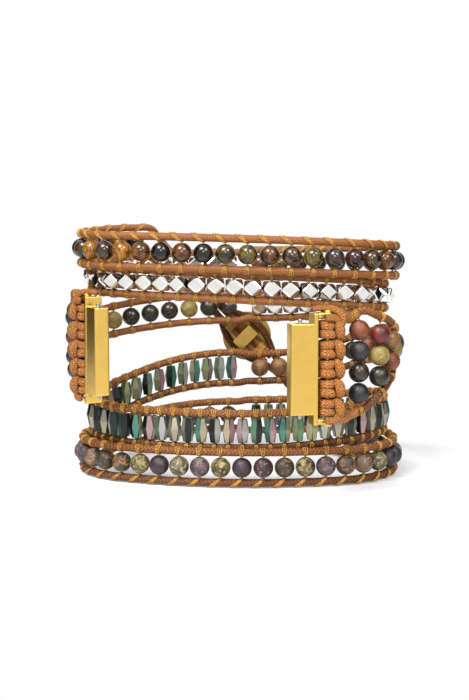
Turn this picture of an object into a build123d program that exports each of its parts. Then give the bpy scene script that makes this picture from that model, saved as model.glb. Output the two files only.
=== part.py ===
from build123d import *
import os
from collections import namedtuple
from math import atan, cos, degrees, pi, radians, sin, sqrt

# Beaded wrap band. Two beaded strands wind round the wrist in a falling spiral. Each
# strand is a ladder: beads between an upper and a lower leather cord, laced on with
# waxed thread. A metal connector with a spring bar stands at one end of each strand,
# and a button and a loop join the other two ends at the back.
# Millimetres, +Z up along the wrist, -Y towards the viewer, +X to the right.
# The origin is on the ground below the middle of the band.

# Wrist form, on the centre line of the beads
WRIST_HALF_LENGTH = 34.0
SIDE_RADIUS = 18.0
FRONT_RADIUS = 60.0

# Leather cord and lacing thread
CORD_D = 1.6
THREAD_D = 0.24
THREAD_CLEARANCE = 0.05
BEAD_TO_CORD = 0.3
BORE_D = 1.0
THREAD_LANE = 0.17
STITCH_DIP = 0.3
STITCH_TAIL = 0.25
SLANTED_CORD_CLEARANCE = 0.16
SLANTED_CORD_EASE = 0.45

# Beads
BEAD_D = 4.1
BEAD_SEAM = 0.06
NUGGET_HEIGHT = 3.0
NUGGET_WIDTH = 3.4
NUGGET_END_WIDTH = 2.0
NUGGET_BELT = 1.2
SPINDLE_HEIGHT = 4.9
SPINDLE_WIDTH = 2.7
SPINDLE_END_WIDTH = 1.75
TIGER_EYE_PITCH = 4.48
NUGGET_PITCH = 3.8
JASPER_PITCH = 4.45
SPINDLE_PITCH = 2.85
PICTURE_JASPER_PITCH = 4.4

# Rows: the highest one's height at the front, and how neighbours nest
ROW_ONE_HEIGHT = 47.9
NEST_CLEARANCE = 0.05
UPPER_NEST_STEP = 0.95
LOWER_NEST_STEP = 0.56
ROW_CHANGE_SPAN = 3.0

# Connectors
RIGHT_CONNECTOR_HEIGHT = 25.9
LEFT_CONNECTOR_HEIGHT = 28.2
RIGHT_LEAD = 17.55
RIGHT_TUCK = 1.0
LEFT_LEAD = -0.31
LEFT_TUCK = -0.6
RIGHT_STRAP_ANGLES = (20.0, 25.0, 60.0, 82.0)
LEFT_STRAP_ANGLES = (122.0, 105.0, 95.0, 90.0)
STRAND_START_ANGLE = 90.0
SLEEVE_HEIGHT = 17.8
SLEEVE_LENGTH = 4.6
SLEEVE_DEPTH = 3.2
SLEEVE_EDGE = 0.45
FLANGE_THICKNESS = 0.9
FLANGE_DEPTH = 3.6
FLANGE_EDGE = 0.2
ARM_THICKNESS = 0.9
ARM_WIDTH = 2.2

# Screw bar that the knots go round
SCREW_BAR_D = 1.2
SCREW_BORE_D = 0.64
SCREW_D = 0.6
SCREW_REACH = 4.0
SCREW_HEAD_D = 1.7
SCREW_HEAD_HEIGHT = 0.5
SCREW_SLOT = 0.3
END_CLEARANCE = 0.05
SCREW_CLEARANCE = 0.05

# Knots of waxed cord on the screw bar
KNOT_CORD_D = 1.4
KNOT_PITCH = 1.92
KNOT_TURNS = 10
KNOT_CLEARANCE = 0.2
KNOT_TO_FLANGE = 0.3
KNOT_TO_ARM = 0.2
BIGHT_D = 1.2
BIGHT_RISE = 1.25
BIGHT_BULGE = 0.5
BIGHT_CLEARANCE = 0.3
CORD_TO_BIGHT = 0.15
CORD_START_DROP = 0.05
BIGHT_TO_BEAD = 0.25

# Spring bar inside the sleeve
BAR_TUBE_D = 1.8
BAR_TUBE_WALL = 0.125
BAR_TUBE_INSET = 0.2
BAR_TUBE_CLEARANCE = 0.05
BAR_END_WALL = 0.3
PLUNGER_CLEARANCE = 0.05
NECK_D = 1.2
NECK_REACH = 0.1
TIP_D = 0.8
TIP_REACH = 0.9
TIP_CHAMFER = 0.12
SHOULDER_LENGTH = 1.6
SPRING_WIRE_D = 0.2
SPRING_MEAN_D = 1.1
SPRING_TURNS = 18
SPRING_TO_PLUNGER = 0.12

# Closure at the back
TAIL_OUT = 3.3
LOOP_LAYER_GAP = 0.42
TAIL_CORD_GAP = 0.3
TAIL_END_REACH = 5.4
TAIL_STRAIGHT_REACH = 6.0
TAIL_BEND_REACH = 14.0
TAIL_EASE_REACH = 20.5
LOOP_BASE_REACH = 8.6
LOOP_TOP_REACH = 7.6
LOOP_END_REACH = 10.2
CLOSURE_STEEPNESS = 0.985
BUTTON_D = 11.5
BUTTON_THICKNESS = 2.0
BUTTON_EDGE = 0.85
BUTTON_WELL_D = 7.0
BUTTON_WELL_DEPTH = 0.4
SHANK_LENGTH = 3.0
SHANK_WALL = 0.8
SHANK_CLEARANCE = 0.2
SHANK_EDGE = 0.3
WHIPPING_D = 0.24
WHIPPING_PITCH = 0.7
WHIPPING_TURNS = 3
WHIPPING_CLEARANCE = 0.1
WHIPPING_TO_SHANK = 0.5

OVERRUN = 1.0
ROW_ONE_RISE_SHARES = (0.41, 0.2, 0.0, -0.49, -0.83)
ROW_TWO_RISE_SHARES = (0.34, 0.0, -0.68, -1.68)
ROW_FOUR_RISE_SHARES = (2.15, 0.27, 0.0, 0.44, -0.56)
RIGHT_COLUMN_RISE_SHARES = (0.27, 0.54, 0.68, 0.61)
LEFT_COLUMN_RISE_SHARES = (0.32, 0.39, 0.44, 0.49)
TAIL_HALF_SHARES = (0.48, 0.76)
TAIL_OUT_SHARE = 0.6
LOOP_OUT_SHARES = (0.42, 0.8)
GAP_STEP_SHARE = 0.25
STITCH_ENTRY_ANGLE = 50.0
NUGGET_SIDES = 8
SPINDLE_SIDES = 6

UP = Vector(0, 0, 1)
nodes = {}
Station = namedtuple("Station", "place heading height half out leaning")
Bead = namedtuple("Bead", "place heading height")

# Sizes that follow from the ones above
cord_r = CORD_D / 2
thread_r = THREAD_D / 2
stitch_outer = cord_r + THREAD_CLEARANCE + THREAD_D
nest_inset = 2 * stitch_outer + NEST_CLEARANCE
side_centre = WRIST_HALF_LENGTH - SIDE_RADIUS
front_centre = sqrt((FRONT_RADIUS - SIDE_RADIUS) ** 2 - side_centre ** 2)
junction = degrees(atan(side_centre / front_centre))


def column_half(count, height=BEAD_D):
    """Half the distance between the two cords round a column of beads."""
    stack = count * height + (count - 1) * BEAD_SEAM
    return stack / 2 + BEAD_TO_CORD + cord_r


round_half = column_half(1)
nugget_half = column_half(1, NUGGET_HEIGHT)
spindle_half = column_half(1, SPINDLE_HEIGHT)
row_five_height = stitch_outer + round_half
row_four_height = row_five_height + round_half + spindle_half + LOWER_NEST_STEP
row_two_height = ROW_ONE_HEIGHT - round_half - nugget_half - UPPER_NEST_STEP

knot_radius = SCREW_BAR_D / 2 + KNOT_CLEARANCE + KNOT_CORD_D / 2
knot_outer = knot_radius + KNOT_CORD_D / 2
knot_height = (KNOT_TURNS - 0.5) * KNOT_PITCH
arm_gap = knot_height + KNOT_CORD_D + 2 * KNOT_TO_ARM
flange_height = arm_gap + 2 * ARM_THICKNESS
flange_face = SLEEVE_LENGTH / 2 + FLANGE_THICKNESS
bar_reach = flange_face + KNOT_TO_FLANGE + knot_outer
bight_end = knot_outer + BIGHT_CLEARANCE + BIGHT_D / 2
bight_outer = bight_end + BIGHT_BULGE + BIGHT_D / 2
cord_start = bight_outer + CORD_TO_BIGHT
column_reach = bight_outer + BIGHT_TO_BEAD + BEAD_D / 2

row_change_turn = degrees(ROW_CHANGE_SPAN / 2 / FRONT_RADIUS)
cord_pair_half = cord_r + TAIL_CORD_GAP / 2
loop_out = TAIL_OUT + CORD_D + LOOP_LAYER_GAP
shank_half = cord_pair_half + cord_r + SHANK_CLEARANCE + SHANK_WALL
loop_half = shank_half + SHANK_CLEARANCE + cord_r
closure_height = (ROW_ONE_HEIGHT + ROW_ONE_RISE_SHARES[0] * BEAD_D + row_five_height) / 2


def arc_or_line(start, heading, end):
    """One edge that leaves start along heading and reaches end."""
    chord = (end - start).normalized()
    if heading.cross(chord).length < 1e-6:
        return Edge.make_line(start, end)
    return Edge.make_tangent_arc(start, heading, end)


def joined(start, out, end, into):
    """One or two tangent arcs from start, heading out, to end, heading into."""
    span = end - start
    both = out + into
    if both.cross(span).length < 1e-6 * span.length:
        return [arc_or_line(start, out, end)]
    turn = 1 - out.dot(into)
    reach = span.dot(both)
    arm = span.dot(span) / (reach + sqrt(reach ** 2 + 2 * turn * span.dot(span)))
    near = start + out * arm
    far = end - into * arm
    middle = (near + far) * 0.5
    first = arc_or_line(start, out, middle)
    second = arc_or_line(middle, (far - near).normalized(), end)
    return [first, second]


def chained(points):
    """Edges through a list of (place, heading) pairs, one list for each span."""
    pairs = zip(points, points[1:])
    return [joined(a[0], a[1], b[0], b[1]) for a, b in pairs]


def tube(spans, heading, radius):
    """A round tube along the spans."""
    edges = [edge for span in spans for edge in span]
    section = Plane(origin=edges[0] @ 0, z_dir=heading) * Circle(radius)
    return sweep(section, path=Wire(edges)).solids()[0]


def report_tube(name, spans, solid, diameter):
    """Print a wound tube's length, tightest bend, least gap to itself and volume match."""
    edges = [edge for span in spans for edge in span]
    bends = [edge.radius for edge in edges if edge.geom_type == GeomType.CIRCLE]
    step = diameter * GAP_STEP_SHARE * 2
    points = []
    for edge in edges:
        count = max(1, round(edge.length / step))
        points += [edge @ (i / count) for i in range(count)]
    apart = round(max(3 * diameter, pi * min(bends)) / step)
    least = min(
        ((points[i] - points[j]).length for i in range(len(points)) for j in range(i + apart, len(points))),
        default=0,
    )
    length = sum(edge.length for edge in edges)
    share = solid.volume / (length * pi * diameter ** 2 / 4)
    print(f"{name}: length {length:.1f}, tightest bend {min(bends):.2f}, "
          f"least gap to itself {least - diameter:.2f}, volume share {share:.4f}")


def level(angle):
    """Unit vector in plan at an angle from +X, in degrees."""
    return Vector(cos(radians(angle)), sin(radians(angle)), 0)


def on_oval(angle, out):
    """Place on the wrist form where its outward normal points at this angle."""
    facing = (angle + 90) % 360 - 180
    away = abs(facing)
    if min(away, 180 - away) <= junction + 1e-9:
        centre = Vector(0, front_centre if away > 90 else -front_centre, 0)
        return centre + level(angle) * (FRONT_RADIUS + out)
    centre = Vector(side_centre if facing < 0 else -side_centre, 0, 0)
    return centre + level(angle) * (SIDE_RADIUS + out)


def wrap(angle, height, half, out=0.0):
    """A station on the winding part of a strand."""
    return Station(on_oval(angle, out), level(angle + 90), height, half, out, False)


def tail(along, half, out, turns=0):
    """A station on a tail at the back, a signed distance along from the button."""
    angle = 90 + degrees(along / (FRONT_RADIUS + out)) + 360 * turns
    height = closure_height + along * CLOSURE_STEEPNESS
    return Station(on_oval(angle, out), level(angle + 90), height, half, out, True)


def strap_columns(corner, angles, height, rise_shares, forward):
    """Spring bar place and the stations of the bead triangle, connector first."""
    back = 1 if forward else -1
    places = [corner]
    for angle in reversed(angles[1:]):
        places.insert(0, places[0] - level(angle) * JASPER_PITCH)
    start = places[0] - level(angles[0]) * (column_reach - cord_start)
    spring_bar = places[0] - level(angles[0]) * (column_reach + bar_reach)
    turns = [angles[0], (angles[1] + angles[2]) / 2, (angles[2] + angles[3]) / 2, STRAND_START_ANGLE]
    first_half = KNOT_TURNS * KNOT_PITCH / 2 - CORD_START_DROP
    stations = [Station(start, level(angles[0]) * back, height, first_half, 0, False)]
    for i, (place, turn) in enumerate(zip(places, turns)):
        count = len(places) - i
        half = column_half(count) + (SLANTED_CORD_EASE if count > 1 else 0)
        rise = height + rise_shares[i] * BEAD_D
        stations.append(Station(place, level(turn) * back, rise, half, 0, False))
    return spring_bar, stations


def upper_strand():
    """Stations of the strand that ends at the left connector."""
    one = [ROW_ONE_HEIGHT + share * BEAD_D for share in ROW_ONE_RISE_SHARES]
    two = [row_two_height + share * BEAD_D for share in ROW_TWO_RISE_SHARES]
    stations = [
        tail(-TAIL_END_REACH, cord_pair_half, TAIL_OUT),
        tail(TAIL_STRAIGHT_REACH, cord_pair_half, TAIL_OUT),
        tail(TAIL_BEND_REACH, round_half * TAIL_HALF_SHARES[0], TAIL_OUT),
        tail(TAIL_EASE_REACH, round_half * TAIL_HALF_SHARES[1], TAIL_OUT * TAIL_OUT_SHARE),
        wrap(90 + junction, one[0], round_half),
        wrap(180, one[1], round_half),
        wrap(270, one[2], round_half),
        wrap(360, one[3], round_half),
        wrap(450 - row_change_turn, one[4], round_half, -nest_inset),
        wrap(450 + row_change_turn, one[4], nugget_half, -nest_inset),
        wrap(540, two[0], nugget_half, -nest_inset),
        wrap(630, two[1], nugget_half, -nest_inset),
        wrap(720, two[2], nugget_half, -nest_inset),
        wrap(810 - row_change_turn, two[3], nugget_half),
        wrap(810 + row_change_turn, two[3], round_half),
    ]
    corner = Vector(-WRIST_HALF_LENGTH + LEFT_TUCK, -LEFT_LEAD, 0)
    bar, columns = strap_columns(corner, LEFT_STRAP_ANGLES, LEFT_CONNECTOR_HEIGHT,
                                 LEFT_COLUMN_RISE_SHARES, False)
    return bar, stations + columns[::-1]


def lower_strand():
    """Stations of the strand that starts at the right connector."""
    four = [row_four_height + share * BEAD_D for share in ROW_FOUR_RISE_SHARES]
    corner = Vector(WRIST_HALF_LENGTH - RIGHT_TUCK, -RIGHT_LEAD, 0)
    bar, columns = strap_columns(corner, RIGHT_STRAP_ANGLES, RIGHT_CONNECTOR_HEIGHT,
                                 RIGHT_COLUMN_RISE_SHARES, True)
    five = row_five_height
    stations = columns + [
        wrap(360, columns[-1].height, round_half),
        wrap(450 - row_change_turn, four[0], round_half, -nest_inset),
        wrap(450 + row_change_turn, four[0], spindle_half, -nest_inset),
        wrap(540, four[1], spindle_half, -nest_inset),
        wrap(630, four[2], spindle_half, -nest_inset),
        wrap(720, four[3], spindle_half, -nest_inset),
        wrap(810 - row_change_turn, four[4], spindle_half, -nest_inset),
        wrap(810 + row_change_turn, four[4], round_half, -nest_inset),
        wrap(900, five, round_half),
        wrap(990, five, round_half),
        wrap(1080, five, round_half),
        wrap(1170 - junction, five, round_half),
        tail(-TAIL_EASE_REACH, round_half * TAIL_HALF_SHARES[1], loop_out * LOOP_OUT_SHARES[0], 3),
        tail(-TAIL_BEND_REACH, round_half * TAIL_HALF_SHARES[0], loop_out * LOOP_OUT_SHARES[1], 3),
        tail(-LOOP_BASE_REACH, cord_pair_half, loop_out, 3),
        tail(0, loop_half, loop_out, 3),
        tail(LOOP_TOP_REACH, cord_pair_half, loop_out, 3),
        tail(LOOP_END_REACH, cord_pair_half, loop_out, 3),
    ]
    return bar, stations


def steady_rates(values, gaps):
    """Rate of change at each station, flat where the values turn back."""
    steps = [(b - a) / gap for a, b, gap in zip(values, values[1:], gaps)]
    rates = [steps[0]]
    for before, after in zip(steps, steps[1:]):
        rates.append(0.0 if before * after <= 0 else 2 * before * after / (before + after))
    return rates + [steps[-1]]


def rail(stations, side):
    """Places and headings of one line of a strand: side 1 upper cord, -1 lower, 0 middle."""
    gaps = [(b.place - a.place).length for a, b in zip(stations, stations[1:])]
    rises = steady_rates([s.height for s in stations], gaps)
    flares = steady_rates([s.half for s in stations], gaps)
    drifts = steady_rates([s.out for s in stations], gaps)
    points = []
    for s, rise, flare, drift in zip(stations, rises, flares, drifts):
        outward = Vector(s.heading.Y, -s.heading.X, 0)
        heading = (s.heading + outward * drift).normalized()
        across = (UP - heading * rise).normalized() if s.leaning else UP
        place = s.place + UP * s.height + across * (side * s.half)
        line = (heading + UP * rise).normalized()
        points.append((place, (line + across * (side * flare)).normalized()))
    return points


def along_spans(spans, share):
    """Place and plan heading at a share of the spans' whole length."""
    edges = [edge for span in spans for edge in span]
    left = share * sum(edge.length for edge in edges)
    for edge in edges:
        if left <= edge.length or edge is edges[-1]:
            place = edge @ min(left / edge.length, 1)
            heading = edge % min(left / edge.length, 1)
            return Bead(Vector(place.X, place.Y, 0), Vector(heading.X, heading.Y, 0).normalized(), place.Z)
        left -= edge.length


def bead_run(spans, pitch, lead=0.5, trail=0.5):
    """Evenly spaced bead places, with lead and trail pitches free at the ends."""
    length = sum(edge.length for span in spans for edge in span)
    count = round(length / pitch - lead - trail) + 1
    even = count - 1 + lead + trail
    return [along_spans(spans, (lead + i) / even) for i in range(count)]


def stand_at(bead, rise=0.0):
    """Location of a piece that stands upright at a bead place, its +X outward."""
    turn = Vector(1, 0, 0).get_signed_angle(bead.heading, UP) - 90
    return Location((bead.place.X, bead.place.Y, bead.height + rise), (0, 0, turn))


def round_bead():
    """A drilled round stone."""
    return (Sphere(BEAD_D / 2) - Cylinder(BORE_D / 2, BEAD_D + OVERRUN)).solids()[0]


def prism_ring(sides, width, height):
    """A level polygon, as wide as the bead is there."""
    return Plane(origin=(0, 0, height)) * RegularPolygon(width / 2, sides)


def faceted_bead(sides, rings):
    """A drilled bead with flat facets between polygon rings."""
    body = loft([prism_ring(sides, width, height) for width, height in rings], ruled=True)
    return (body - Cylinder(BORE_D / 2, 2 * rings[-1][1] + OVERRUN)).solids()[0]


def nugget_bead():
    """A drilled faceted metal nugget."""
    top = NUGGET_HEIGHT / 2
    belt = NUGGET_BELT / 2
    rings = [(NUGGET_END_WIDTH, -top), (NUGGET_WIDTH, -belt), (NUGGET_WIDTH, belt), (NUGGET_END_WIDTH, top)]
    return faceted_bead(NUGGET_SIDES, rings)


def spindle_bead():
    """A drilled six-sided spindle, widest at its waist."""
    top = SPINDLE_HEIGHT / 2
    rings = [(SPINDLE_END_WIDTH, -top), (SPINDLE_WIDTH, 0), (SPINDLE_END_WIDTH, top)]
    return faceted_bead(SPINDLE_SIDES, rings)


def stitch(half, clearance=THREAD_CLEARANCE):
    """One stitch: up through the bore, round the upper cord, down and round the lower."""
    loop = cord_r + clearance + thread_r
    turn_in = half - loop - STITCH_DIP

    def round_cord(angle, centre):
        return Vector(loop * cos(radians(angle)), 0, centre + loop * sin(radians(angle))), \
            Vector(-sin(radians(angle)), 0, cos(radians(angle)))

    points = [(Vector(THREAD_LANE, 0, STITCH_TAIL), UP), (Vector(THREAD_LANE, 0, turn_in), UP)]
    for angle in (-STITCH_ENTRY_ANGLE, 90, 180 + STITCH_ENTRY_ANGLE):
        points.append(round_cord(angle, half))
    points += [(Vector(-THREAD_LANE, 0, turn_in), -UP), (Vector(-THREAD_LANE, 0, -turn_in), -UP)]
    for angle in (180 - STITCH_ENTRY_ANGLE, 270, 360 + STITCH_ENTRY_ANGLE):
        points.append(round_cord(angle, -half))
    points += [(Vector(THREAD_LANE, 0, -turn_in), UP), (Vector(THREAD_LANE, 0, -STITCH_TAIL), UP)]
    return tube(chained(points), UP, thread_r)


def placed(piece, beads):
    """Copies of a piece, one at each bead place."""
    return [piece.moved(stand_at(bead)) for bead in beads]


def triangle_pieces(stations):
    """Beads and stitches of the four columns between a connector and its strand."""
    bead = round_bead()
    beads = []
    stitches = []
    for station in stations:
        count = round((station.half - BEAD_TO_CORD - cord_r) * 2 / BEAD_D)
        middle = Bead(station.place, station.heading, station.height)
        step = BEAD_D + BEAD_SEAM
        for i in range(count):
            beads.append(bead.moved(stand_at(middle, (i - (count - 1) / 2) * step)))
        stitches.append(stitch(station.half, SLANTED_CORD_CLEARANCE).moved(stand_at(middle)))
    return beads, stitches


def connector_body():
    """Sleeve for the spring bar, flange and two arms, round the spring bar's axis."""
    sleeve = Box(SLEEVE_LENGTH, SLEEVE_DEPTH, SLEEVE_HEIGHT)
    sleeve = fillet(sleeve.edges().filter_by(Axis.Z).group_by(Axis.X)[0], SLEEVE_EDGE)
    flange = Box(FLANGE_THICKNESS, FLANGE_DEPTH, flange_height)
    flange = Pos(flange_face - FLANGE_THICKNESS / 2, 0, 0) * flange
    flange = fillet(flange.edges().filter_by(Axis.Z), FLANGE_EDGE)
    body = sleeve + flange
    for side in (1, -1):
        height = side * (arm_gap + ARM_THICKNESS) / 2
        run = Pos((flange_face + bar_reach) / 2 - FLANGE_EDGE, 0, height)
        body += run * Box(bar_reach - flange_face + 2 * FLANGE_EDGE, ARM_WIDTH, ARM_THICKNESS)
        body += Pos(bar_reach, 0, height) * Cylinder(ARM_WIDTH / 2, ARM_THICKNESS)
    body -= Cylinder(BAR_TUBE_D / 2 + BAR_TUBE_CLEARANCE, SLEEVE_HEIGHT + OVERRUN)
    body -= Pos(bar_reach, 0, 0) * Cylinder(SCREW_D / 2 + SCREW_CLEARANCE, flange_height + OVERRUN)
    return body.solids()[0]


def screw_bar():
    """Hollow bar between the arms, threaded inside at both ends."""
    length = arm_gap - 2 * END_CLEARANCE
    bar = Cylinder(SCREW_BAR_D / 2, length) - Cylinder(SCREW_BORE_D / 2, length + OVERRUN)
    return (Pos(bar_reach, 0, 0) * bar).solids()[0]


def bar_screw(side):
    """Slotted screw through an arm into the end of the bar."""
    seat = flange_height / 2
    align = (Align.CENTER, Align.CENTER, Align.MIN)
    head = Pos(0, 0, seat) * Cylinder(SCREW_HEAD_D / 2, SCREW_HEAD_HEIGHT, align=align)
    shank_length = SCREW_REACH + ARM_THICKNESS
    shank = Pos(0, 0, seat - shank_length) * Cylinder(SCREW_D / 2, shank_length, align=align)
    slot = Pos(0, 0, seat + SCREW_HEAD_HEIGHT) * Box(SCREW_HEAD_D + OVERRUN, SCREW_SLOT, SCREW_HEAD_HEIGHT)
    screw = head + shank - slot
    turned = screw if side > 0 else Rotation(180, 0, 0) * screw
    return (Pos(bar_reach, 0, 0) * turned).solids()[0]


def knot_winding():
    """The waxed cord's turns round the screw bar, one unbroken tube."""
    rate = KNOT_PITCH / (2 * pi * knot_radius)
    points = []
    for i in range(4 * KNOT_TURNS - 1):
        radial = level(90 + 90 * i)
        heading = (level(180 + 90 * i) + UP * rate).normalized()
        rise = KNOT_PITCH * i / 4 - knot_height / 2
        points.append((Vector(bar_reach, 0, rise) + radial * knot_radius, heading))
    first = (points[0][0] - points[0][1] * KNOT_CORD_D, points[0][1])
    last = (points[-1][0] + points[-1][1] * KNOT_CORD_D, points[-1][1])
    spans = chained([first] + points + [last])
    solid = tube(spans, first[1], KNOT_CORD_D / 2)
    report_tube("knot cord", spans, solid, KNOT_CORD_D)
    return solid


def knot_bights():
    """The fold of each knot, on the side towards the beads."""
    step = 2 * KNOT_PITCH
    arc = ThreePointArc(
        (bar_reach + bight_end, 0, BIGHT_RISE),
        (bar_reach + bight_end + BIGHT_BULGE, 0, 0),
        (bar_reach + bight_end, 0, -BIGHT_RISE),
    )
    section = Plane(origin=arc @ 0, z_dir=arc % 0) * Circle(BIGHT_D / 2)
    bight = sweep(section, path=arc).solids()[0]
    count = KNOT_TURNS // 2
    return [bight.moved(Location((0, 0, (i - (count - 1) / 2) * step))) for i in range(count)]


tube_length = SLEEVE_HEIGHT - 2 * BAR_TUBE_INSET
tube_bore_r = BAR_TUBE_D / 2 - BAR_TUBE_WALL
shoulder_top = tube_length / 2 - BAR_END_WALL
spring_half = shoulder_top - SHOULDER_LENGTH - SPRING_TO_PLUNGER


def spring_bar_tube():
    """Tube of the spring bar, its ends closed in round the plungers."""
    body = Cylinder(BAR_TUBE_D / 2, tube_length)
    body -= Cylinder(tube_bore_r, tube_length - 2 * BAR_END_WALL)
    body -= Cylinder(NECK_D / 2 + PLUNGER_CLEARANCE, tube_length + OVERRUN)
    return body.solids()[0]


def plunger(side):
    """Spring bar end: a shoulder and neck in the tube, and a tip that stands out of it."""
    align = (Align.CENTER, Align.CENTER, Align.MIN)
    shoulder_end = shoulder_top - END_CLEARANCE
    neck_end = SLEEVE_HEIGHT / 2 + NECK_REACH
    shoulder = Pos(0, 0, shoulder_top - SHOULDER_LENGTH)
    shoulder *= Cylinder(tube_bore_r - PLUNGER_CLEARANCE, SHOULDER_LENGTH - END_CLEARANCE, align=align)
    neck = Pos(0, 0, shoulder_end) * Cylinder(NECK_D / 2, neck_end - shoulder_end, align=align)
    tip = Pos(0, 0, neck_end) * Cylinder(TIP_D / 2, TIP_REACH - NECK_REACH, align=align)
    tip = chamfer(tip.edges().group_by(Axis.Z)[-1], TIP_CHAMFER)
    whole = shoulder + neck + tip
    turned = whole if side > 0 else Rotation(180, 0, 0) * whole
    return turned.solids()[0]


def bar_spring():
    """Coil spring between the two plungers."""
    pitch = 2 * (spring_half - SPRING_WIRE_D / 2) / SPRING_TURNS
    radius = SPRING_MEAN_D / 2
    rate = pitch / (2 * pi * radius)
    points = []
    for i in range(2 * SPRING_TURNS + 1):
        heading = (level(90 + 180 * i) + UP * rate).normalized()
        rise = pitch * i / 2 - pitch * SPRING_TURNS / 2
        points.append((Vector(0, 0, rise) + level(180 * i) * radius, heading))
    spans = chained(points)
    solid = tube(spans, points[0][1], SPRING_WIRE_D / 2)
    report_tube("spring", spans, solid, SPRING_WIRE_D)
    return solid


def at_closure(along, out):
    """Frame on the closure: X along the cords, Y outward, Z across them."""
    angle = 90 + degrees(along / (FRONT_RADIUS + out))
    place = on_oval(angle, out) + UP * (closure_height + along * CLOSURE_STEEPNESS)
    line = (level(angle + 90) + UP * CLOSURE_STEEPNESS).normalized()
    return Plane(origin=place, x_dir=line, z_dir=line.cross(level(angle)))


def button():
    """Domed metal button on a slotted shank that both tail cords pass through."""
    floor = -(cord_r + SHANK_CLEARANCE + SHANK_WALL)
    disc_face = (loop_out - TAIL_OUT) + cord_r + LOOP_LAYER_GAP
    shank = Pos(0, (floor + disc_face) / 2, 0) * Box(SHANK_LENGTH, disc_face - floor, 2 * shank_half)
    shank = fillet(shank.edges().filter_by(Axis.Y), SHANK_EDGE)
    slot_r = cord_r + SHANK_CLEARANCE
    slot = Box(SHANK_LENGTH + OVERRUN, 2 * slot_r, 2 * cord_pair_half)
    for side in (1, -1):
        hole = Rotation(0, 90, 0) * Cylinder(slot_r, SHANK_LENGTH + OVERRUN)
        slot += Pos(0, 0, side * cord_pair_half) * hole
    disc = Cylinder(BUTTON_D / 2, BUTTON_THICKNESS)
    disc = fillet(disc.edges().group_by(Axis.Z)[-1], BUTTON_EDGE)
    disc -= Pos(0, 0, BUTTON_THICKNESS / 2) * Cylinder(BUTTON_WELL_D / 2, 2 * BUTTON_WELL_DEPTH)
    disc = Pos(0, disc_face + BUTTON_THICKNESS / 2, 0) * Rotation(-90, 0, 0) * disc
    return (at_closure(0, TAIL_OUT) * (shank - slot + disc)).solids()[0]


def whipping(along, out):
    """Turns of thread that bind a pair of cords, one unbroken tube."""
    radius = cord_r + WHIPPING_CLEARANCE + WHIPPING_D / 2
    cross = Vector(0, 0, 1)
    outward = Vector(0, 1, 0)
    quarter = pi / 2 * radius
    lap = 4 * quarter + 4 * cord_pair_half
    rate = WHIPPING_PITCH / lap
    corners = [
        (cross * cord_pair_half + outward * radius, cross, quarter),
        (cross * (cord_pair_half + radius), -outward, quarter),
        (cross * cord_pair_half - outward * radius, -cross, 2 * cord_pair_half),
        (-cross * cord_pair_half - outward * radius, -cross, quarter),
        (-cross * (cord_pair_half + radius), outward, quarter),
        (-cross * cord_pair_half + outward * radius, cross, 2 * cord_pair_half),
    ]
    points = []
    run = 0.0
    for i in range(6 * WHIPPING_TURNS + 1):
        place, heading, step = corners[i % 6]
        shift = Vector(run * rate - WHIPPING_PITCH * WHIPPING_TURNS / 2, 0, 0)
        points.append((place + shift, (heading + Vector(rate, 0, 0)).normalized()))
        run += step
    first = (points[0][0] - points[0][1] * WHIPPING_D, points[0][1])
    last = (points[-1][0] + points[-1][1] * WHIPPING_D, points[-1][1])
    spans = chained([first] + points + [last])
    solid = tube(spans, first[1], WHIPPING_D / 2)
    report_tube("whipping", spans, solid, WHIPPING_D)
    return (at_closure(along, out) * solid).solids()[0]


def keep(name, pieces):
    """Keep one node's solids until all are made."""
    nodes[name] = pieces
    print(f"{name}: {len(pieces)}")


def write_all():
    """Set the origin below the middle of the whole band and write each node's file."""
    box = Compound([solid for pieces in nodes.values() for solid in pieces]).bounding_box()
    shift = Vector(-box.center().X, -box.center().Y, -box.min.Z)
    for name, pieces in nodes.items():
        moved = [solid.moved(Location(shift)) for solid in pieces]
        shape = moved[0] if len(moved) == 1 else Compound(children=moved)
        shape.label = name
        export_step(shape, f"parts/{name}.step")
    return shift


def strand_cords(name, stations):
    """The upper and the lower leather cord of one strand."""
    for side, place in ((1, "top"), (-1, "bottom")):
        points = rail(stations, side)
        spans = chained(points)
        solid = tube(spans, points[0][1], cord_r)
        report_tube(f"{name}_{place}_cord", spans, solid, CORD_D)
        keep(f"{name}_{place}_cord", [solid])


def bead_group(name, bead, half, beads):
    """One run of beads and its stitches."""
    keep(f"{name}_beads", placed(bead, beads))
    keep(f"{name}_lacing", placed(stitch(half), beads))


def connector(name, spring_bar, angle, height):
    """All pieces of one connector, placed on its strap line."""
    frame = Location((spring_bar.X, spring_bar.Y, height), (0, 0, angle))
    pieces = {
        "connector_body": [connector_body()],
        "screw_bar": [screw_bar()],
        "upper_bar_screw": [bar_screw(1)],
        "lower_bar_screw": [bar_screw(-1)],
        "spring_bar_tube": [spring_bar_tube()],
        "bar_spring": [bar_spring()],
        "upper_plunger": [plunger(1)],
        "lower_plunger": [plunger(-1)],
        "knot_cord": [knot_winding()],
        "knot_bights": knot_bights(),
    }
    for part, solids in pieces.items():
        keep(f"{name}_{part}", [solid.moved(frame) for solid in solids])


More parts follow.
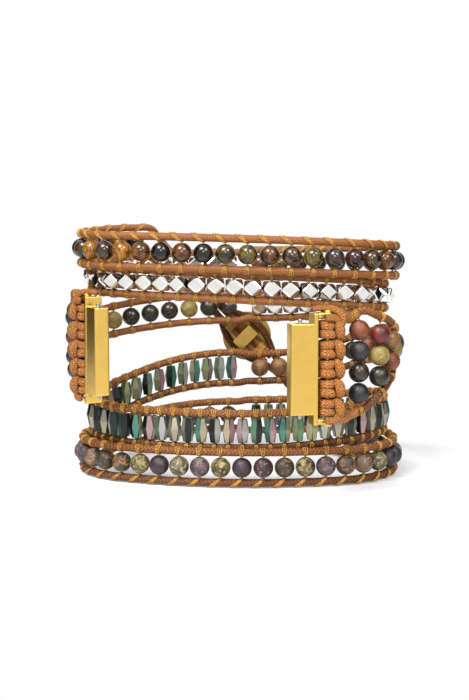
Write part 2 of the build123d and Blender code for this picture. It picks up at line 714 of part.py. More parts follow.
def main():
    """Build every sub-part and write its file."""
    os.makedirs("parts", exist_ok=True)
    left_bar, upper = upper_strand()
    right_bar, lower = lower_strand()
    strand_cords("upper_strand", upper)
    strand_cords("lower_strand", lower)

    upper_middle = chained(rail(upper, 0))
    lower_middle = chained(rail(lower, 0))
    bead_group("tiger_eye", round_bead(), round_half, bead_run(upper_middle[4:8], TIGER_EYE_PITCH))
    bead_group("silver_nugget", nugget_bead(), nugget_half, bead_run(upper_middle[9:13], NUGGET_PITCH))
    bead_group("rainbow_spindle", spindle_bead(), spindle_half, bead_run(lower_middle[7:11], SPINDLE_PITCH))
    row_five = bead_run(lower_middle[12:16], PICTURE_JASPER_PITCH)
    bead_group("picture_jasper", round_bead(), round_half, row_five)

    left_run = bead_run(upper_middle[14:15], JASPER_PITCH, trail=1.0)
    right_run = bead_run(lower_middle[4:6], JASPER_PITCH, lead=1.0)
    for name, stations, run in (("left", upper[-5:-1], left_run), ("right", lower[1:5], right_run)):
        beads, stitches = triangle_pieces(stations)
        keep(f"{name}_jasper_beads", beads + placed(round_bead(), run))
        keep(f"{name}_jasper_lacing", stitches + placed(stitch(round_half), run))

    connector("right", right_bar, RIGHT_STRAP_ANGLES[0], RIGHT_CONNECTOR_HEIGHT)
    connector("left", left_bar, LEFT_STRAP_ANGLES[0], LEFT_CONNECTOR_HEIGHT)
    keep("button", [button()])
    tail_mark = SHANK_LENGTH / 2 + WHIPPING_TO_SHANK + WHIPPING_PITCH * WHIPPING_TURNS / 2
    keep("button_whippings", [whipping(tail_mark, TAIL_OUT), whipping(-tail_mark, TAIL_OUT)])
    top_mark = (LOOP_TOP_REACH + LOOP_END_REACH) / 2
    base_mark = -LOOP_BASE_REACH - WHIPPING_PITCH * WHIPPING_TURNS / 4
    keep("loop_whippings", [whipping(mark, loop_out) for mark in (top_mark, base_mark)])
    shift = write_all()
    for place, angles in ((right_bar, RIGHT_STRAP_ANGLES), (left_bar, LEFT_STRAP_ANGLES)):
        moved = place + shift
        print(f"spring bar at {moved}, screw bar at {moved + level(angles[0]) * bar_reach}")
    print(f"origin moved by {shift}")


main()
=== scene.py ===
import logging
import random
from dataclasses import dataclass, field
from enum import Enum
from functools import partial
from itertools import product
from math import asin, cos, pi, radians, sin, sqrt, tau
from typing import Any, Callable, Iterable, Iterator, Sequence

import bmesh
import bpy
from bpy.types import ID, Material, Mesh, Node, NodeSocket, NodeTree, Object
from mathutils import Matrix, Vector
from mathutils.bvhtree import BVHTree


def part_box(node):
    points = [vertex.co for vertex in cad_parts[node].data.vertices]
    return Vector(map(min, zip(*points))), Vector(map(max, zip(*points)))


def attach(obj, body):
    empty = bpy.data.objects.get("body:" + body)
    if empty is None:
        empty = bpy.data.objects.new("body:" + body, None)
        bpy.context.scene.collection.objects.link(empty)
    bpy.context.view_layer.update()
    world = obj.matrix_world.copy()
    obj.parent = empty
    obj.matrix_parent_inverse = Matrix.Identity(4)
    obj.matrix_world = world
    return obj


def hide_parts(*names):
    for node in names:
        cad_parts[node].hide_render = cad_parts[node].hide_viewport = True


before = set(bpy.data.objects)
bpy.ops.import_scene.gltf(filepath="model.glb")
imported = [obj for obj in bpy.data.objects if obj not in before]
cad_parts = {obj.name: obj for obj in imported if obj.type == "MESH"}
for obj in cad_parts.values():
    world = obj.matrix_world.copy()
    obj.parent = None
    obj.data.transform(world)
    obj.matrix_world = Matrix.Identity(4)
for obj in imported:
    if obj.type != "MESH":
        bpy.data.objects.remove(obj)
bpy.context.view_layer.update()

LOG = logging.getLogger("bead_band")
MM = 0.001
UP = Vector((0.0, 0.0, 1.0))
BAND = "band"
CORD_RADIUS = 0.8 * MM
THREAD_RADIUS = 0.12 * MM
FRONT_DEPTH = 3 * MM
PLACE = "stone_place"
TINT = "facet_tint"
LENGTHS = "length_map"
Adder = Callable[..., Node]
Spot = tuple[float, float, float]


class Side(Enum):
    """Which cord of a strand, or arm of a connector, by its sign along the wrist."""

    TOP = 1
    BOTTOM = -1


class Lay(Enum):
    """How far the lacing shifts along a cord, in millimetres: in straight bands, or in bands that slant."""

    STRAIGHT = 0.12
    SLANTED = 2.1


def linear(colour: str) -> tuple[float, float, float, float]:
    """Turns an sRGB hex colour into linear light.

    Args:
        colour: Six hex digits after a hash.

    Returns:
        Red, green, blue and an alpha of one.
    """
    parts = [int(colour[i:i + 2], 16) / 255 for i in (1, 3, 5)]
    light = [c / 12.92 if c <= 0.04045 else ((c + 0.055) / 1.055) ** 2.4 for c in parts]
    return light[0], light[1], light[2], 1.0


def add_node(tree: NodeTree, kind: str, *values: Any, stops: Sequence[tuple[float, str]] = (),
             **named: Any) -> Node:
    """Adds a shader node with its settings, values and links.

    A value is a number, a vector, a hex colour, a socket, or a node in place of its first output.

    Args:
        tree: The node tree.
        kind: The node's type, without the word ShaderNode.
        values: Values of the first inputs, in the node's own order.
        stops: Places and hex colours of a colour ramp.
        named: Values of inputs, whose names start with a capital, and the node's own properties.

    Returns:
        The new node.
    """
    node = tree.nodes.new("ShaderNode" + kind)
    inputs = dict(enumerate(values))
    for name, value in named.items():
        if name[0].isupper():
            inputs[name.replace("_", " ")] = value
        else:
            setattr(node, name, value)
    for name, value in inputs.items():
        source = value.outputs[0] if isinstance(value, Node) else value
        if isinstance(source, NodeSocket):
            tree.links.new(source, node.inputs[name])
        else:
            node.inputs[name].default_value = linear(value) if isinstance(value, str) else value
    if stops:
        elements = node.color_ramp.elements
        while len(elements) < len(stops):
            elements.new(0.5)
        for element, (place, colour) in zip(elements, stops):
            element.position = place
            element.color = linear(colour)
    return node


def shown(made: Object) -> Object:
    """Links a new object to the scene."""
    bpy.context.scene.collection.objects.link(made)
    return made


@dataclass(frozen=True)
class Finish:
    """A material that is built once and then shared."""

    name: str

    def material(self) -> Material:
        """Finds the material, or builds it first.

        Returns:
            The material.
        """
        made = bpy.data.materials.get(self.name)
        if not made:
            made = bpy.data.materials.new(self.name)
            made.use_nodes = True
            made.node_tree.nodes.clear()
            add = partial(add_node, made.node_tree)
            add("OutputMaterial", self.shader(add))
        return made

    def shader(self, add: Adder) -> Node:
        """Adds the surface's nodes."""
        raise NotImplementedError


Columns = Iterator[tuple[list[Vector], Sequence[Finish]]]


@dataclass(frozen=True)
class Stone(Finish):
    """Drilled natural stone, tumbled and polished: two grounds in clouds, mineral patches and grain lines."""

    ground: str
    cloud: str
    patch: str
    roughness: float = 0.11
    cloud_mm: float = 2.6
    patch_mm: float = 1.5
    patch_from: float = 0.6
    grain_mm: float = 0.5
    grain: float = 0.3

    def shader(self, add: Adder) -> Node:
        """Builds the stone from the beads' own places in millimetres.

        Args:
            add: Adds a node.

        Returns:
            The surface shader.
        """
        place = add("Attribute", attribute_name=PLACE).outputs["Vector"]
        clouds = add("TexNoise", place, Scale=1 / self.cloud_mm, Detail=3.0, Roughness=0.55, Distortion=0.9)
        body = add("MixRGB", add("MapRange", clouds, 0.43, 0.57), self.ground, self.cloud)
        seams = add("TexNoise", place, Scale=1 / self.patch_mm, Detail=5.0, Roughness=0.62, Distortion=1.8)
        share = add("MapRange", seams, self.patch_from, self.patch_from + 0.06, 0.0, 0.85)
        colour = add("MixRGB", share, body, self.patch)
        lines = add("TexWave", place, Scale=0.5 / self.grain_mm, Distortion=2.5, Detail=3.0, Detail_Scale=0.5)
        grains = add("TexNoise", place, Scale=4.5, Detail=3.0)
        both = add("Math", lines.outputs["Fac"], grains, operation="ADD")
        depth = add("MapRange", both, 0.5, 1.5, 1 - self.grain, 1 + self.grain * 0.7)
        toned = add("HueSaturation", Color=colour, Value=depth)
        dull = add("MapRange", grains, 0.0, 1.0, self.roughness * 0.8, self.roughness * 1.4)
        bump = add("Bump", Height=grains, Strength=0.04, Distance=0.1 * MM)
        return add("BsdfPrincipled", toned, Roughness=dull, IOR=1.54, Normal=bump)


@dataclass(frozen=True)
class LusteredStone(Finish):
    """Cut hematite with a vapour-coated lustre, which turns each facet its own green, gold, teal or pink."""

    name: str = "lustre coated hematite"
    roughness: float = 0.32
    fade_mm: float = 1.4

    def shader(self, add: Adder) -> Node:
        """Builds the lustre from each facet's tint, faded along the bead.

        Args:
            add: Adds a node.

        Returns:
            The surface shader.
        """
        tint = add("Attribute", attribute_name=TINT).outputs["Fac"]
        place = add("Attribute", attribute_name=PLACE).outputs["Vector"]
        fade = add("TexNoise", place, Scale=1 / self.fade_mm, Detail=2.0)
        shift = add("Math", add("Math", fade, 0.5, operation="SUBTRACT"), 0.16, operation="MULTIPLY")
        where = add("Math", tint, shift, operation="ADD", use_clamp=True)
        colour = add("ValToRGB", where, stops=(
            (0.0, "#131612"), (0.12, "#232c27"), (0.25, "#437f6f"), (0.38, "#62805e"), (0.5, "#8d9268"),
            (0.62, "#aa9f7e"), (0.74, "#85807b"), (0.86, "#a5808b"), (1.0, "#9da59c")))
        return add("BsdfPrincipled", colour, Metallic=0.6, Roughness=self.roughness,
                   Coat_Weight=0.2, Coat_Roughness=0.12)


@dataclass(frozen=True)
class Metal(Finish):
    """A plated or drawn metal part: even colour, fine brushing along one way and worn spots."""

    colour: str
    worn: str
    roughness: float
    brush_mm: Spot = (0.12, 0.12, 3.0)
    brush: float = 0.06
    edge_mm: float = 0.05
    spot_mm: float = 2.5

    def shader(self, add: Adder) -> Node:
        """Builds the metal in object space, where one unit is a metre.

        Args:
            add: Adds a node.

        Returns:
            The surface shader.
        """
        place = add("TexCoord").outputs["Object"]
        stretched = add("Mapping", place, Scale=[1 / (MM * size) for size in self.brush_mm])
        lines = add("TexNoise", stretched, Scale=1.0, Detail=2.0, Roughness=0.5)
        spots = add("TexNoise", place, Scale=1 / (self.spot_mm * MM), Detail=4.0)
        colour = add("MixRGB", add("MapRange", spots, 0.45, 0.8, 0.0, 0.5), self.colour, self.worn)
        dull = add("MapRange", lines, 0.3, 0.7, self.roughness * 0.94, self.roughness * 1.06)
        edges = add("Bevel", self.edge_mm * MM, samples=6)
        bump = add("Bump", Height=lines, Strength=self.brush, Distance=0.02 * MM, Normal=edges)
        return add("BsdfPrincipled", colour, Metallic=1.0, Roughness=dull, Normal=bump)


@dataclass(frozen=True)
class BraidedCord(Finish):
    """Waxed braided cord: small strands that cross in herringbone columns, with a dull sheen from its waxing,
    and painted shade in its grooves and crevices.
    """

    ridge: str
    groove: str
    pitch_mm: float = 0.55
    columns: int = 6
    strength: float = 0.5
    crevice_mm: float = 0.6
    wander: float = 1.2

    def shader(self, add: Adder) -> Node:
        """Builds the braid from a tube's length in millimetres and the way round it.

        Args:
            add: Adds a node.

        Returns:
            The surface shader.
        """
        mapped = add("UVMap", uv_map=LENGTHS)
        parts = add("SeparateXYZ", mapped).outputs
        along = add("Math", parts[0], 1 / self.pitch_mm, operation="MULTIPLY")
        column = add("Math", parts[1], float(self.columns), operation="MULTIPLY")
        folded = add("Math", column, 0.5, operation="PINGPONG")
        slanted = add("Math", folded, 1.5, operation="MULTIPLY")
        laid = add("Math", along, slanted, operation="ADD")
        loose = add("TexNoise", mapped, Scale=1.1, Detail=2.0)
        strand = add("Math", loose, self.wander, laid, operation="MULTIPLY_ADD")
        ridges = add("Math", add("Math", strand, 0.5, operation="PINGPONG"), 2.0, operation="MULTIPLY")
        seam = add("MapRange", folded, 0.0, 0.12, 0.35, 1.0)
        height = add("Math", ridges, seam, operation="MULTIPLY")
        stretched = add("CombineXYZ", parts[0], column)
        fibres = add("TexNoise", stretched, Scale=1.9, Detail=4.0, Roughness=0.65)
        # The braid's relief and fibre noise mix the two tones: the darker groove tone is painted shade in the
        # grooves and seams
        worn = add("Math", fibres, 0.75, height, operation="MULTIPLY_ADD")
        colour = add("MixRGB", add("MapRange", worn, 0.3, 1.15), self.groove, self.ridge)
        # Painted shade: occlusion darkens the colour in the crevices between strands, turns and folds
        crevice = add("AmbientOcclusion", Distance=self.crevice_mm * MM, samples=6).outputs["AO"]
        crevice_shade = add("MapRange", crevice, 0.35, 0.8, 0.06, 1.0)
        darkened = add("HueSaturation", Color=colour, Value=crevice_shade)
        bump = add("Bump", Height=worn, Strength=self.strength, Distance=0.16 * MM)
        return add("BsdfPrincipled", darkened, Roughness=0.55, IOR=1.45, Normal=bump)


@dataclass(frozen=True)
class TwistedThread(Finish):
    """Waxed polyester thread of two twisted plies, drawn coarse enough to show."""

    name: str = "waxed polyester thread"
    light: str = "#cf962f"
    dark: str = "#6b4212"
    ply_mm: float = 0.55
    fuzz_mm: float = 0.7

    def shader(self, add: Adder) -> Node:
        """Builds the twist from the thread's length, with fuzz from its place.

        Args:
            add: Adds a node.

        Returns:
            The surface shader.
        """
        parts = add("SeparateXYZ", add("UVMap", uv_map=LENGTHS)).outputs
        along = add("Math", parts[0], 1 / self.ply_mm, parts[1], operation="MULTIPLY_ADD")
        twist = add("Math", along, 0.5, operation="PINGPONG")
        place = add("TexCoord").outputs["Object"]
        fuzz = add("TexNoise", place, Scale=1 / (self.fuzz_mm * MM), Detail=3.0)
        mixed = add("Math", twist, fuzz, operation="ADD")
        colour = add("MixRGB", add("MapRange", mixed, 0.35, 0.95), self.dark, self.light)
        bump = add("Bump", Height=mixed, Strength=0.3, Distance=0.05 * MM)
        return add("BsdfPrincipled", colour, Roughness=0.45, IOR=1.5, Sheen_Weight=0.1, Normal=bump)


@dataclass(frozen=True)
class Felt(Finish):
    """Black wool felt, which swallows light but for the faint mottle of its nap."""

    name: str = "black wool felt"
    nap_mm: float = 2.0

    def shader(self, add: Adder) -> Node:
        """Builds the felt.

        Args:
            add: Adds a node.

        Returns:
            The surface shader.
        """
        nap = add("TexNoise", Scale=1 / (self.nap_mm * MM), Detail=3.0)
        shade = add("MapRange", nap, 0.0, 1.0, 0.004, 0.01)
        return add("BsdfPrincipled", shade, Roughness=1.0, Specular_IOR_Level=0.1)


@dataclass(frozen=True)
class AcrylicSheet(Finish):
    """White matt acrylic, which glows a little near the band and turns to plain white further off."""

    name: str = "white matt acrylic sheet"
    grain_mm: float = 0.5
    shadow_mm: float = 45.0
    white_mm: float = 110.0

    def shader(self, add: Adder) -> Node:
        """Builds the sheet, whose glow only the camera and mirrors see.

        Args:
            add: Adds a node.

        Returns:
            The surface shader.
        """
        place = add("TexCoord").outputs["Object"]
        grain = add("TexNoise", place, Scale=1 / (self.grain_mm * MM), Detail=2.0)
        dull = add("MapRange", grain, 0.0, 1.0, 0.45, 0.6)
        base = add("BsdfPrincipled", "#f0f0f0", Roughness=dull, Specular_IOR_Level=0.1)
        lit = add("AddShader", base, add("Emission", "#ffffff", 0.16))
        away = add("VectorMath", place, operation="LENGTH").outputs["Value"]
        far = add("MapRange", away, self.shadow_mm * MM, self.white_mm * MM, interpolation_type="SMOOTHSTEP")
        faded = add("MixShader", far, lit, add("Emission", "#ffffff", 1.0))
        path = add("LightPath").outputs
        seen = add("Math", path["Is Camera Ray"], path["Is Glossy Ray"], operation="MAXIMUM")
        return add("MixShader", seen, base, faded)


# Tiger eye, banded by iron oxides in gold, brown, red and near black, with a high polish
HONEY = Stone("honey tiger eye", "#a06717", "#6b420f", "#b97f27", grain_mm=0.7, grain=0.35)
BROWN = Stone("brown tiger eye", "#63390f", "#241308", "#7d5020", grain_mm=0.7, grain=0.4)
TAN = Stone("tan tiger eye", "#774818", "#452709", "#8e5e26", grain_mm=0.7, grain=0.35)
DARK = Stone("dark tiger eye", "#0d0806", "#1c110b", "#4d3218", patch_from=0.66)
OLIVE_EYE = Stone("olive tiger eye", "#655619", "#241a0b", "#857029", grain_mm=0.7, grain=0.4)
BANDED = Stone("banded tiger eye", "#503a1b", "#21170d", "#786036", grain_mm=0.8, grain=0.5)
HAWK = Stone("blue grey hawk eye", "#1f262a", "#452c13", "#53402c", grain_mm=0.8, grain=0.4)
RED = Stone("red tiger eye", "#48201b", "#22110f", "#704030", grain_mm=0.7, grain=0.4)

# Picture jasper, tumbled to a satin: silt and iron in angular clouds, with paler patches
MAUVE = Stone("mauve picture jasper", "#5f4b4b", "#35282c", "#8b766d", 0.48, patch_from=0.54)
PLUM = Stone("plum picture jasper", "#33232a", "#1d151b", "#5e3f3f", 0.46, patch_from=0.56)
MOSS = Stone("moss picture jasper", "#37311d", "#191611", "#9c6c30", 0.46, patch_mm=1.3, patch_from=0.56)
OLIVE = Stone("olive picture jasper", "#5e5329", "#262117", "#aa9762", 0.46, patch_from=0.5)
RUST = Stone("rust patched picture jasper", "#3c4038", "#20221f", "#b06f2e", 0.46, patch_from=0.52)
PALE = Stone("pale picture jasper", "#7a7047", "#433c2c", "#b1a47d", 0.48, patch_from=0.54)
WINE = Stone("wine picture jasper", "#4c2123", "#251618", "#968177", 0.46, patch_mm=1.3, patch_from=0.55)
TAUPE = Stone("taupe picture jasper", "#765b48", "#43332b", "#a78a6a", 0.48, patch_from=0.54)

# Jasper beside the connectors, with a dull polish
TERRACOTTA = Stone("terracotta jasper", "#7f4223", "#5c2d18", "#99592f", 0.46, grain=0.2)
OXBLOOD = Stone("oxblood jasper", "#6d1f17", "#42130f", "#8f4636", 0.38, grain=0.3)
SLATE = Stone("slate jasper", "#2a272a", "#19181b", "#503843", 0.46, grain=0.2)
UMBER = Stone("umber jasper", "#35291a", "#1e1912", "#8a6230", 0.24, patch_mm=0.9, patch_from=0.62)
COAL = Stone("coal jasper", "#1b1a1e", "#121114", "#2b2a30", 0.4, grain=0.1)
STRAW = Stone("straw jasper", "#a08b45", "#7f6c31", "#bcaa62", 0.46, grain=0.16)
BOTTLE = Stone("bottle green jasper", "#2c2918", "#1b1a12", "#4b4429", 0.3, grain=0.2)
SAND = Stone("sand jasper", "#8a5f30", "#65441f", "#a57d47", 0.46, grain=0.2)
FERN = Stone("fern jasper", "#474a2e", "#2d3121", "#75734a", 0.34)

ROW_ONE_ORDER = (
    HAWK, HONEY, BANDED, HONEY, TAN, DARK, BROWN, DARK, OLIVE_EYE, OLIVE_EYE, BROWN, BANDED, OLIVE_EYE,
    HAWK, RED, BANDED, TAN, HAWK)
ROW_FIVE_ORDER = (
    MAUVE, TAUPE, MOSS, RUST, OLIVE, PLUM, PALE, MAUVE, OLIVE, PLUM, WINE, MOSS, OLIVE, MAUVE, RUST, TAUPE,
    PALE, PLUM)
RIGHT_ORDER = (TERRACOTTA, SLATE, UMBER, COAL, OXBLOOD, STRAW, BOTTLE, SAND, TERRACOTTA, STRAW)
LEFT_ORDER = (FERN, STRAW, SAND, UMBER, SLATE, TERRACOTTA, BOTTLE, OXBLOOD, SAND, STRAW)

# Plated metals show an even satin or a mirror, drawn steel and aged brass a duller one
PLATED_GOLD = Metal("satin gold plated brass", "#e9c163", "#dbb052", 0.28, brush=0.008, edge_mm=0.4)
BRIGHT_SILVER = Metal("silver plated brass", "#ecebe8", "#cfcdc8", 0.1, brush=0.0)
DRAWN_STEEL = Metal("bright drawn steel", "#b9b8b4", "#8e8c88", 0.26)
AGED_BRASS = Metal("aged brass", "#cda75a", "#8a6a34", 0.34, brush_mm=(1.2, 1.2, 1.2))

# Waxed cords, whose braid catches the light on its ridges, with painted shade in its grooves from the darker
# groove tone and in its crevices from occlusion
SIENNA_CORD = BraidedCord("sienna waxed cord", "#aa6932", "#4f260e", strength=0.6)
CAMEL_CORD = BraidedCord("camel waxed cord", "#9a5d24", "#381a07", pitch_mm=0.8, columns=4, strength=0.8)
UMBER_CORD = BraidedCord("umber waxed cord", "#7d481a", "#281104", pitch_mm=0.8, columns=4, strength=0.8)
KNOT_CORD = BraidedCord("camel waxed knot cord", "#d3883f", "#451c05", columns=9, strength=1.0,
                        crevice_mm=0.85, wander=2.4)
LACING = TwistedThread()

# Each cord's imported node, the middle of its first end in millimetres, the way it runs on, and its finish
UPPER_TOP = ("upper_strand_top_cord", (6.361, 26.34, 22.268), (-0.7094, 0.0607, 0.7022), SIENNA_CORD)
UPPER_BOTTOM = ("upper_strand_bottom_cord", (5.031, 26.454, 20.915), (-0.7094, 0.0607, 0.7022), SIENNA_CORD)
LOWER_TOP = ("lower_strand_top_cord", (24.405, -26.266, 35.45), (0.7819, 0.2846, 0.5547), CAMEL_CORD)
LOWER_BOTTOM = ("lower_strand_bottom_cord", (24.405, -26.266, 16.35), (0.8832, 0.3215, 0.3414), UMBER_CORD)


@dataclass
class Cut:
    """The points and faces of one bead, about its own middle."""

    points: list
    faces: list
    smooth: bool


@dataclass
class MeshBuilder:
    """Gathers tubes and cut solids into one mesh, with lengths, stone places and facet tints."""

    name: str
    points: list = field(default_factory=list)
    faces: list = field(default_factory=list)
    maps: list = field(default_factory=list)
    places: list = field(default_factory=list)
    looks: list = field(default_factory=list)

    def tube(self, line: Sequence[Vector], half_wide: float, half_deep: float, sides: int, normal: Vector,
             start_mm: float = 0.0, sizes: Sequence[float] = ()) -> None:
        """Adds a tube along a line.

        Args:
            line: Points along its middle.
            half_wide: Half its size across the normal.
            half_deep: Half its size along the normal.
            sides: Points round it.
            normal: The way its depth points at the start.
            start_mm: The length at which its pattern starts.
            sizes: How large each ring is, as a share.
        """
        last = len(line) - 1
        first = len(self.points)
        look = (0, True, 0.0)
        length = start_mm
        for i, here in enumerate(line):
            ahead = (line[min(i + 1, last)] - line[max(i - 1, 0)]).normalized()
            across = ahead.cross(normal).normalized()
            normal = across.cross(ahead).normalized()
            size = sizes[i] if sizes else 1.0
            for k in range(sides):
                turn = tau * k / sides
                self.points.append(here + across * (sin(turn) * half_wide * size)
                                   + normal * (cos(turn) * half_deep * size))
                self.places.append((0.0, 0.0, 0.0))
            if i:
                before = length
                length += (here - line[i - 1]).length / MM
                start = first + (i - 1) * sides
                for k in range(sides):
                    a, b = start + k, start + (k + 1) % sides
                    self.add_face((a, b, b + sides, a + sides), look, [
                        (before, k / sides), (before, (k + 1) / sides),
                        (length, (k + 1) / sides), (length, k / sides)])
        self.add_face([first + k for k in reversed(range(sides))], look)
        self.add_face([first + last * sides + k for k in range(sides)], look)

    def add_face(self, corners: Sequence[int], look: tuple[int, bool, float], mapped: Sequence = ()) -> None:
        """Adds a face.

        Args:
            corners: Numbers of its points.
            look: The material's place, whether it shades smooth, and its facet tint.
            mapped: Length and way round at each corner.
        """
        self.faces.append(corners)
        self.looks.append(look)
        self.maps.extend(mapped or [(0.0, 0.0)] * len(corners))

    def solid(self, shape: Cut, place: Matrix, slot: int, rng: random.Random, tints: Sequence[float]) -> None:
        """Adds a bead.

        Args:
            shape: Its points and faces.
            place: Where it stands.
            slot: The material's place.
            rng: Turns the stone's pattern its own way.
            tints: One for each face, or none.
        """
        first = len(self.points)
        turn = Matrix.Rotation(rng.uniform(0, 6.28), 3, Vector((rng.uniform(-1, 1), rng.uniform(-1, 1), 1.0)))
        shift = Vector([rng.uniform(-200, 200) for _ in range(3)])
        for point in shape.points:
            self.points.append(place @ point)
            self.places.append(tuple(turn @ (point / MM) + shift))
        for i, face in enumerate(shape.faces):
            self.add_face([first + k for k in face], (slot, shape.smooth, tints[i] if tints else 0.0))

    def build(self, finishes: Iterable[Finish], slot: str, *nodes: str) -> None:
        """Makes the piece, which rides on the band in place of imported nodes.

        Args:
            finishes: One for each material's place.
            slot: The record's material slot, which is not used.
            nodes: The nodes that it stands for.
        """
        mesh = bpy.data.meshes.new(self.name)
        mesh.from_pydata([tuple(p) for p in self.points], [], self.faces)
        slots, smooth, tints = zip(*self.looks)
        mesh.polygons.foreach_set("material_index", slots)
        mesh.polygons.foreach_set("use_smooth", smooth)
        mapped = mesh.uv_layers.new(name=LENGTHS)
        mapped.data.foreach_set("uv", [value for pair in self.maps for value in pair])
        places = mesh.attributes.new(PLACE, "FLOAT_VECTOR", "POINT")
        places.data.foreach_set("vector", [value for place in self.places for value in place])
        tinted = mesh.attributes.new(TINT, "FLOAT", "FACE")
        tinted.data.foreach_set("value", tints)
        for finish in finishes:
            mesh.materials.append(finish.material())
        mesh.validate()
        mesh.update()
        piece = shown(bpy.data.objects.new(self.name, mesh))
        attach(piece, BAND)
        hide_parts(*nodes)
        LOG.info("%s: %d faces", self.name, len(self.faces))


def round_cut() -> Cut:
    """A drilled round bead with a countersunk bore: its outline, turned round the bore.

    Returns:
        The bead.
    """
    radius, bore, countersink, sides = 2.05, 0.5, 0.12, 28
    first = asin((bore + countersink) / radius)
    outline = [(radius * sin(a), radius * cos(a))
               for a in (first + (pi - 2 * first) * i / 20 for i in range(21))]
    deep = radius * cos(first) - 0.2
    outline += [(bore, -deep), (bore, deep)]
    turns = [tau * k / sides for k in range(sides)]
    points = [Vector((out * cos(turn), out * sin(turn), height)) * MM
              for out, height in reversed(outline) for turn in turns]
    faces = []
    for i in range(len(outline)):
        below = ((i + 1) % len(outline)) * sides
        for k in range(sides):
            ahead = (k + 1) % sides
            faces.append((i * sides + k, i * sides + ahead, below + ahead, below + k))
    return Cut(points, faces, True)


def spindle_cut() -> Cut:
    """A six-sided spindle whose corners are cut away to its ends.

    Returns:
        The bead.
    """
    half_height, waist, flat, half_side = 2.45, 1.475, 0.912, 0.36
    turns = [radians(60 * k + 30) for k in range(6)]
    points = [Vector((waist * cos(turn), waist * sin(turn), 0.0)) * MM for turn in turns]
    for end in (1, -1):
        for k in range(6):
            turn = radians(60 * k)
            out = Vector((cos(turn), sin(turn), 0.0))
            across = Vector((-sin(turn), cos(turn), 0.0))
            for way in (-1, 1):
                points.append((out * flat + across * (half_side * way) + UP * (end * half_height)) * MM)
    faces = []
    for right in range(6):
        left = (right - 1) % 6
        upper, lower = 6 + 2 * right, 18 + 2 * right
        beside = (2 * right + 2) % 12
        faces += [(left, right, upper + 1, upper), (right, left, lower, lower + 1),
                  (right, 6 + beside, upper + 1), (right, lower + 1, 18 + beside)]
    faces += [tuple(range(6, 18)), tuple(reversed(range(18, 30)))]
    return Cut(points, faces, False)


def nugget_cut() -> Cut:
    """A metal cube with its corners cut away to the middle of its edges, and narrow flats along its edges.

    Returns:
        The bead.
    """
    half_sizes, ease = Vector((1.8, 1.8, 1.55)), 0.1
    work = bmesh.new()
    for corner in product((-1, 0, 1), repeat=3):
        if sum(abs(c) for c in corner) == 2:
            work.verts.new(corner)
    bmesh.ops.convex_hull(work, input=work.verts)
    bmesh.ops.dissolve_limit(work, angle_limit=0.05, verts=work.verts, edges=work.edges)
    bmesh.ops.bevel(work, geom=list(work.edges), offset=ease, segments=1, affect="EDGES")
    for vert in work.verts:
        vert.co = vert.co * half_sizes * MM
    bmesh.ops.recalc_face_normals(work, faces=work.faces)
    hull = bpy.data.meshes.new("hull")
    work.to_mesh(hull)
    work.free()
    return Cut([v.co.copy() for v in hull.vertices], [tuple(p.vertices) for p in hull.polygons], False)


def centres_of(node: str) -> list[Vector]:
    """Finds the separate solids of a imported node.

    Args:
        node: The node's name.

    Returns:
        The middle of each solid's box, in the node's order.
    """
    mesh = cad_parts[node].data
    keys = [tuple(round(c * 1e7) for c in v.co) for v in mesh.vertices]
    owner: dict = {key: key for key in keys}

    def root(key: tuple) -> tuple:
        """Follows a key to its group's first key."""
        while owner[key] != key:
            owner[key] = owner[owner[key]]
            key = owner[key]
        return key

    for face in mesh.polygons:
        first = root(keys[face.vertices[0]])
        for vertex in face.vertices[1:]:
            owner[root(keys[vertex])] = first
    groups: dict = {}
    for key, vertex in zip(keys, mesh.vertices):
        groups.setdefault(root(key), []).append(vertex.co)
    return [Vector([(min(along) + max(along)) / 2 for along in zip(*members)]) for members in groups.values()]


def squared(way: Vector, axis: Vector) -> Vector:
    """What is left of a way once it is square to an axis."""
    return way - axis * way.dot(axis)


def eased(count: int, span: int, least: float) -> list[float]:
    """Sizes of a tube's rings that round off both ends.

    Args:
        count: How many rings it has.
        span: How many rings each rounding takes.
        least: The size of the first and the last ring.

    Returns:
        A share for each ring.
    """
    shares = [min(1.0, min(i, count - 1 - i) / span) for i in range(count)]
    return [least + (1 - least) * sqrt(1 - (1 - share) ** 2) for share in shares]


def smooth_line(marks: Sequence[Vector], steps: int) -> list[Vector]:
    """A smooth line through a few marks.

    Args:
        marks: The places that it passes.
        steps: Points from each mark to the next.

    Returns:
        Points along the line.
    """
    line = []
    for i in range(len(marks) - 1):
        a, b, c = marks[max(i - 1, 0)], marks[i], marks[i + 1]
        d = marks[min(i + 2, len(marks) - 1)]
        for k in range(steps):
            t = k / steps
            line.append(0.5 * ((2 * b) + (c - a) * t + (2 * a - 5 * b + 4 * c - d) * t * t
                               + (3 * b - a - 3 * c + d) * t ** 3))
    return line + [marks[-1]]


